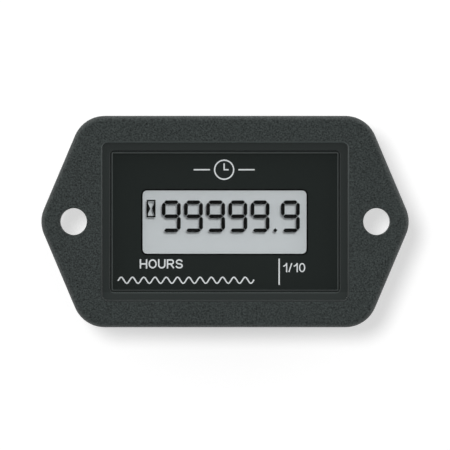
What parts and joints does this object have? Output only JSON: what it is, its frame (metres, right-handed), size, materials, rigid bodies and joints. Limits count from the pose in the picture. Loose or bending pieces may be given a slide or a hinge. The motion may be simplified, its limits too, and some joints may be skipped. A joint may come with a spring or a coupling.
{
  "type": "hour meter",
  "caption": "Panel hour meter with a flat six-sided flange, screw ears, a rectangular rear box and a liquid crystal display behind a flush lens, run by its own cell and a vibration switch.",
  "frame": {"origin": "midway between the two screw holes, on the back face of the flange", "axes": "+X along the line of the screw holes to the right of the reader, +Y up the face, +Z out of the face towards the reader"},
  "size_m": [0.0616, 0.0354, 0.0139],
  "materials": {
    "housing_plastic": "fine moulded grain",
    "clear_lens": "polished clear plastic",
    "mask_film": "smooth printed film",
    "polariser_film": "satin film",
    "display_glass": "polished",
    "segment_dark": "dark liquid crystal",
    "seal_resin": "cured resin",
    "reflector_grey": "silver grey film",
    "holder_plastic": "moulded",
    "contact_rubber": "layered rubber",
    "board_green": "solder mask",
    "chip_black": "moulded resin",
    "tinned_metal": "bright tin",
    "nickel_can": "nickel plate",
    "capacitor_tan": "fired ceramic",
    "sleeve_plastic": "moulded",
    "gold_plate": "gold plate",
    "foam_dark": "closed-cell foam"
  },
  "bodies": {
    "meter": {"flange_housing": "housing_plastic", "lens": "clear_lens", "face_mask": "mask_film", "lcd_front_polariser": "polariser_film", "lcd_front_glass": "display_glass", "lcd_segments": "segment_dark", "lcd_seal": "seal_resin", "lcd_rear_glass": "display_glass", "lcd_reflector": "reflector_grey", "display_holder": "holder_plastic", "upper_contact_strip": "contact_rubber", "lower_contact_strip": "contact_rubber", "circuit_board": "board_green", "controller_chip": "chip_black", "controller_leads": "tinned_metal", "crystal_can": "nickel_can", "crystal_leads": "tinned_metal", "chip_capacitors": "capacitor_tan", "chip_resistors": "chip_black", "coin_cell": "nickel_can", "positive_tab": "tinned_metal", "negative_tab": "tinned_metal", "sensor_sleeve": "sleeve_plastic", "sensor_cap_upper": "gold_plate", "sensor_cap_lower": "gold_plate", "cell_pad": "foam_dark", "rear_cover": "housing_plastic"},
    "ball": {"vibration_ball": "gold_plate"}
  },
  "joints": [
    {"name": "ball_roll", "type": "slide", "parent": "meter", "child": "ball", "axis": [0, 1, 0], "range_m": [-0.00145, 0.00145]}
  ]
}
